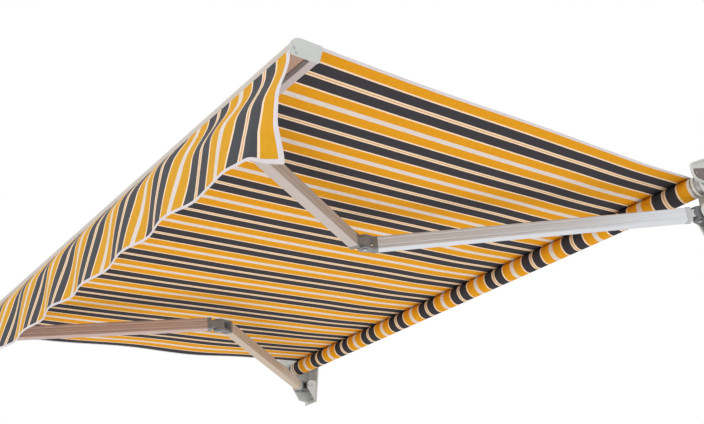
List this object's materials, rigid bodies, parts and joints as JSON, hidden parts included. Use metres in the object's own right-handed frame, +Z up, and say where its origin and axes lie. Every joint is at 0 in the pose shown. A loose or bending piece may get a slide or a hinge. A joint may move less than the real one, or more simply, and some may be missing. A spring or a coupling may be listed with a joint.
{
  "type": "folding-arm awning",
  "caption": "Motorised folding-arm awning with a striped canopy and rippled valance on an open roller, forked-elbow arms, front bar, end covers and wall brackets.",
  "frame": {"origin": "middle of the left wall bracket's back face", "axes": "+X along the wall to the right bracket, +Y into the wall, +Z up"},
  "size_m": [3.0106, 2.2179, 0.8834],
  "materials": {
    "coated_steel": "satin",
    "coated_aluminium": "satin",
    "anodised_aluminium": "satin",
    "cast_grey": "matte",
    "plated_steel": "satin",
    "dark_plastic": "matte",
    "striped_cloth": "matte"
  },
  "bodies": {
    "frame": {"wall_bracket_left": "coated_steel", "wall_bracket_right": "coated_steel", "roller_end_plate_left": "coated_steel", "roller_end_plate_right": "coated_steel", "carrier_bar": "coated_steel", "end_cover_left": "coated_aluminium", "end_cover_right": "coated_aluminium", "idler_stub": "plated_steel", "motor_head": "dark_plastic", "tube_motor": "anodised_aluminium"},
    "roller": {"roller_tube": "plated_steel", "cloth_roll": "striped_cloth", "idler_plug": "dark_plastic", "limit_crown": "dark_plastic", "drive_wheel": "dark_plastic"},
    "arm_carrier": {"shoulder_yoke_left": "cast_grey", "shoulder_yoke_right": "cast_grey", "tilt_pin_left": "plated_steel", "tilt_pin_right": "plated_steel", "pitch_bolt_left": "plated_steel", "pitch_bolt_right": "plated_steel", "shoulder_pin_left": "plated_steel", "shoulder_pin_right": "plated_steel", "canopy": "striped_cloth"},
    "rear_arm_left": {"rear_arm_knuckle_left": "cast_grey", "rear_arm_tube_left": "anodised_aluminium", "rear_elbow_fork_left": "cast_grey", "elbow_pin_left": "plated_steel"},
    "fore_arm_left": {"fore_arm_tip_left": "cast_grey", "fore_arm_tube_left": "anodised_aluminium", "fore_elbow_tongue_left": "cast_grey", "arm_spring_left": "plated_steel"},
    "rear_arm_right": {"rear_arm_knuckle_right": "cast_grey", "rear_arm_tube_right": "anodised_aluminium", "rear_elbow_fork_right": "cast_grey", "elbow_pin_right": "plated_steel"},
    "fore_arm_right": {"fore_arm_tip_right": "cast_grey", "fore_arm_tube_right": "anodised_aluminium", "fore_elbow_tongue_right": "cast_grey", "arm_spring_right": "plated_steel"},
    "front_bar": {"front_bar": "coated_aluminium", "front_bar_cap_left": "coated_aluminium", "front_bar_cap_right": "coated_aluminium", "canopy_rod": "dark_plastic", "valance_rod": "dark_plastic", "valance": "striped_cloth", "bar_shoe_right": "coated_aluminium", "tip_pin_right": "plated_steel"},
    "bar_shoe_left": {"bar_shoe_left": "coated_aluminium", "tip_pin_left": "plated_steel"}
  },
  "joints": [
    {"name": "arm_pitch", "type": "hinge", "parent": "frame", "child": "arm_carrier", "pos_m": [1.44, -0.04101, -0.05231], "axis": [1, 0, 0], "range_deg": [-3, 5]},
    {"name": "shoulder_right", "type": "hinge", "parent": "arm_carrier", "child": "rear_arm_right", "pos_m": [2.865, -0.108, -0.064], "axis": [0, 0.1719, -0.9851], "range_deg": [0, 48.6], "deforming": ["canopy"]},
    {"name": "shoulder_left", "type": "hinge", "parent": "arm_carrier", "child": "rear_arm_left", "pos_m": [0.015, -0.108, -0.064], "axis": [0, -0.1719, 0.9851], "range_deg": [0, 48.61]},
    {"name": "elbow_right", "type": "hinge", "parent": "rear_arm_right", "child": "fore_arm_right", "pos_m": [2.00807, -1.19238, -0.25325], "axis": [0, -0.1719, 0.9851], "range_deg": [0, 105.85]},
    {"name": "elbow_left", "type": "hinge", "parent": "rear_arm_left", "child": "fore_arm_left", "pos_m": [0.87193, -1.19238, -0.25325], "axis": [0, 0.1719, -0.9851], "range_deg": [0, 105.85]},
    {"name": "tip_right", "type": "hinge", "parent": "fore_arm_right", "child": "front_bar", "pos_m": [2.505, -2.08676, -0.40935], "axis": [0, 0.1719, -0.9851], "range_deg": [0, 57.25]},
    {"name": "tip_left", "type": "hinge", "parent": "fore_arm_left", "child": "bar_shoe_left", "pos_m": [0.375, -2.08676, -0.40935], "axis": [0, -0.1719, 0.9851], "range_deg": [0, 57.25]},
    {"name": "roller_turn", "type": "hinge", "parent": "frame", "child": "roller", "pos_m": [1.44, -0.121, 0.055], "axis": [-1, 0, 0], "range_deg": [0, 2355.7]}
  ],
  "couplings": [
    {"joint": "shoulder_left", "follows": "shoulder_right", "ratio": 1},
    {"joint": "elbow_right", "follows": "shoulder_right", "ratio": 2.1778},
    {"joint": "elbow_left", "follows": "shoulder_right", "ratio": 2.1778},
    {"joint": "tip_right", "follows": "shoulder_right", "ratio": 1.1778},
    {"joint": "tip_left", "follows": "shoulder_right", "ratio": 1.1778},
    {"joint": "roller_turn", "follows": "shoulder_right", "ratio": 48.471}
  ]
}
